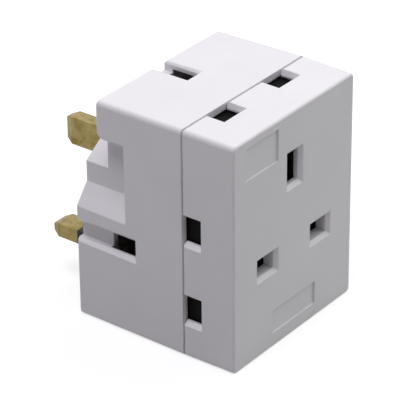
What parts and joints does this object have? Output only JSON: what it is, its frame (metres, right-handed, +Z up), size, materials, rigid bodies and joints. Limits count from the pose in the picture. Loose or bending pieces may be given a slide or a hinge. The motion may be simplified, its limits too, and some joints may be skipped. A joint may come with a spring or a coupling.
{
  "type": "multi socket adapter",
  "caption": "Fused plug-in adapter block: shuttered three-slot sockets on front, top and left side, rectangular brass pins and a pull-out fuse carrier at the back.",
  "frame": {"origin": "on the pin face, midway between the line and neutral pins", "axes": "+X to the right as seen from the front socket, +Y out along the pins into the wall, +Z up, from the line and neutral pins to the earth pin"},
  "size_m": [0.0504, 0.0711, 0.0629],
  "materials": {
    "white_moulding": "semi-gloss moulded",
    "black_shutter_plastic": "satin moulded",
    "black_sleeve_plastic": "satin moulded",
    "pin_brass": "drawn, slightly dull",
    "strip_brass": "rolled",
    "fuse_cap_plating": "nickel plated",
    "fuse_ceramic": "glazed",
    "spring_steel": "wire",
    "zinc_plated_steel": "zinc plated"
  },
  "bodies": {
    "case": {"rear_housing": "white_moulding", "front_cover": "white_moulding", "earth_pin": "pin_brass", "line_pin": "pin_brass", "neutral_pin": "pin_brass", "line_pin_sleeve": "black_sleeve_plastic", "neutral_pin_sleeve": "black_sleeve_plastic", "case_screws": "zinc_plated_steel", "earth_busbar": "strip_brass", "line_busbar": "strip_brass", "neutral_busbar": "strip_brass", "supply_strip": "strip_brass", "fuse_clip_supply": "strip_brass", "fuse_clip_load": "strip_brass", "line_rivets": "strip_brass", "neutral_rivets": "strip_brass", "earth_rivets": "strip_brass", "front_line_contact": "strip_brass", "front_neutral_contact": "strip_brass", "front_earth_contact": "strip_brass", "front_shutter_spring": "spring_steel", "top_line_contact": "strip_brass", "top_neutral_contact": "strip_brass", "top_earth_contact": "strip_brass", "top_shutter_spring": "spring_steel", "side_line_contact": "strip_brass", "side_neutral_contact": "strip_brass", "side_earth_contact": "strip_brass", "side_shutter_spring": "spring_steel"},
    "front_shutter": {"front_shutter": "black_shutter_plastic"},
    "top_shutter": {"top_shutter": "black_shutter_plastic"},
    "side_shutter": {"side_shutter": "black_shutter_plastic"},
    "fuse_drawer": {"fuse_carrier": "white_moulding", "fuse_tube": "fuse_ceramic", "fuse_cap_supply": "fuse_cap_plating", "fuse_cap_load": "fuse_cap_plating"}
  },
  "joints": [
    {"name": "front_shutter_slide", "type": "slide", "parent": "case", "child": "front_shutter", "axis": [0, 0, -1], "range_m": [0, 0.006], "stiffness_N_per_m": 100, "springref_m": -0.004, "deforming": ["front_shutter_spring"]},
    {"name": "top_shutter_slide", "type": "slide", "parent": "case", "child": "top_shutter", "axis": [0, -1, 0], "range_m": [0, 0.006], "stiffness_N_per_m": 100, "springref_m": -0.004, "deforming": ["top_shutter_spring"]},
    {"name": "side_shutter_slide", "type": "slide", "parent": "case", "child": "side_shutter", "axis": [0, -1, 0], "range_m": [0, 0.006], "stiffness_N_per_m": 100, "springref_m": -0.004, "deforming": ["side_shutter_spring"]},
    {"name": "fuse_carrier_pull", "type": "slide", "parent": "case", "child": "fuse_drawer", "axis": [0, 1, 0], "range_m": [0, 0.01]}
  ]
}
